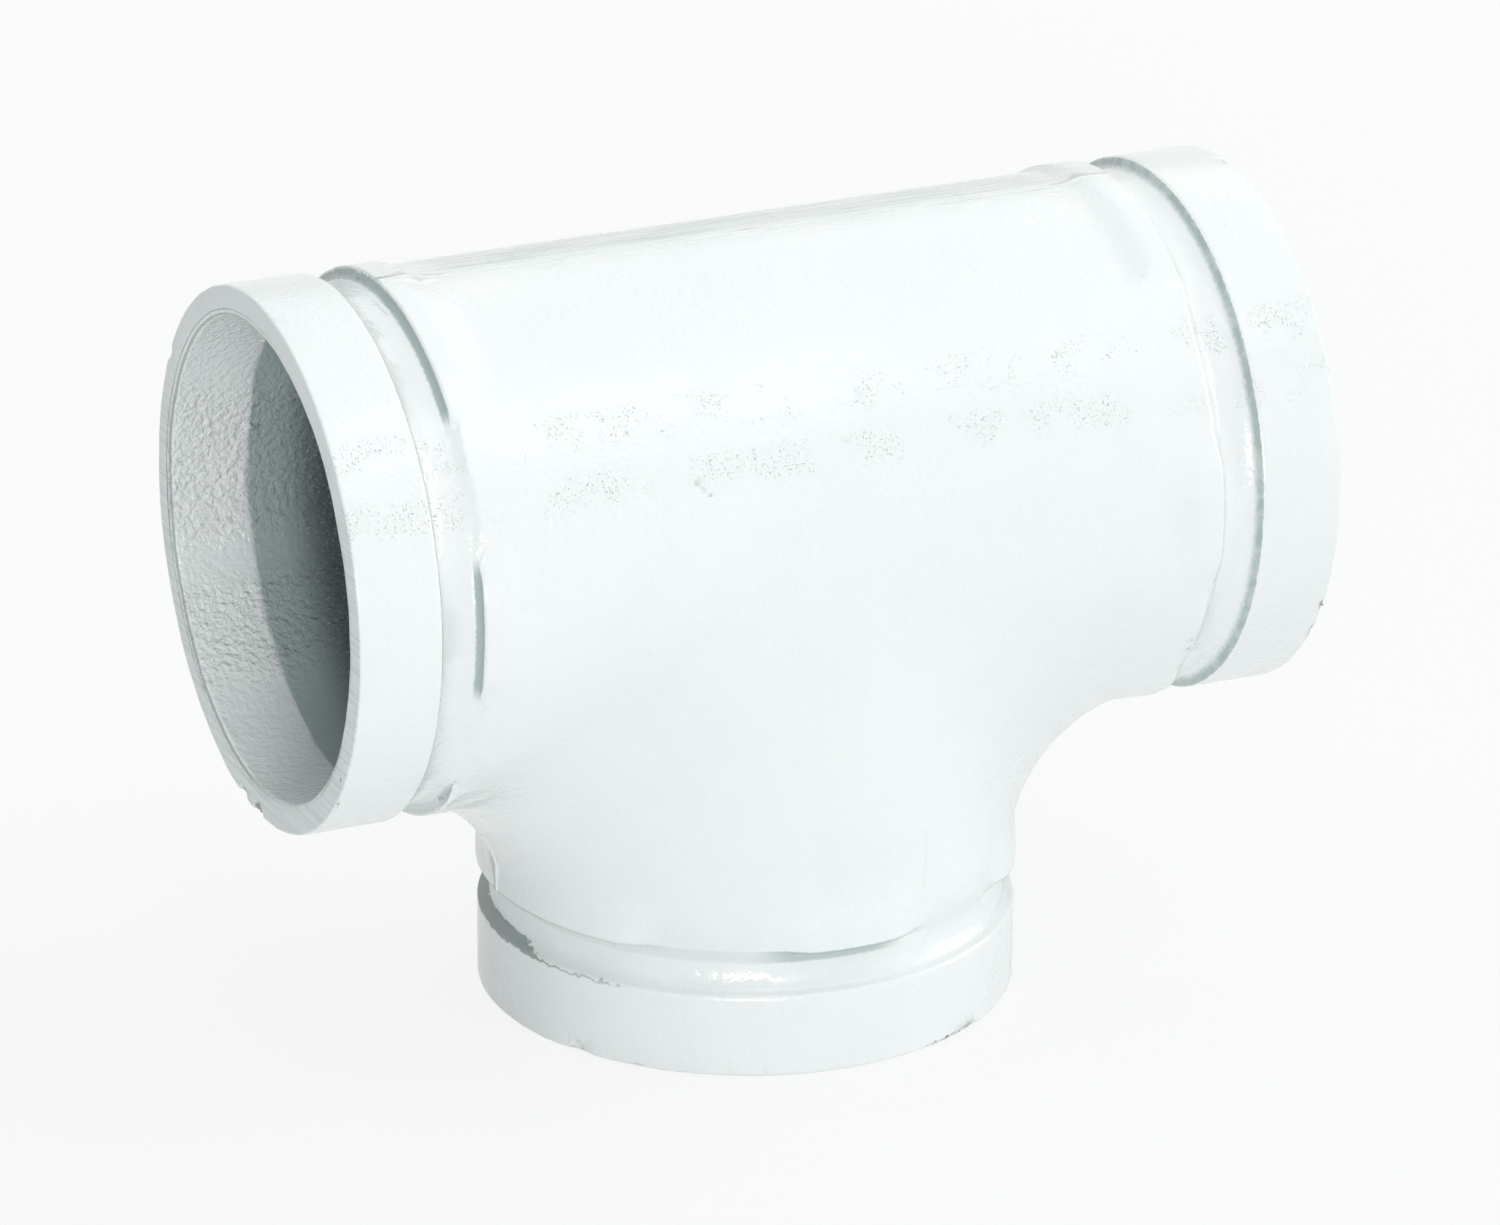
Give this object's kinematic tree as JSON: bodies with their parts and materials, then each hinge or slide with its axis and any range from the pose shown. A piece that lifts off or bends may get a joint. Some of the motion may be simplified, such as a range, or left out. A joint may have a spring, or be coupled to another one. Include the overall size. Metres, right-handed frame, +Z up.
{
  "type": "grooved tee",
  "caption": "One-piece cast pipe tee with three grooved ends for clamp couplings, painted white.",
  "frame": {"origin": "centre of the branch's end face, on which the tee stands", "axes": "+X along the run, +Z up the branch from its end face to the run, +Y across both; the moulding seam lies in the XZ plane"},
  "size_m": [0.1714, 0.0892, 0.1305],
  "materials": {
    "white_paint": "gloss white paint over cast iron"
  },
  "bodies": {
    "root": {"tee_body": "white_paint"}
  },
  "joints": []
}
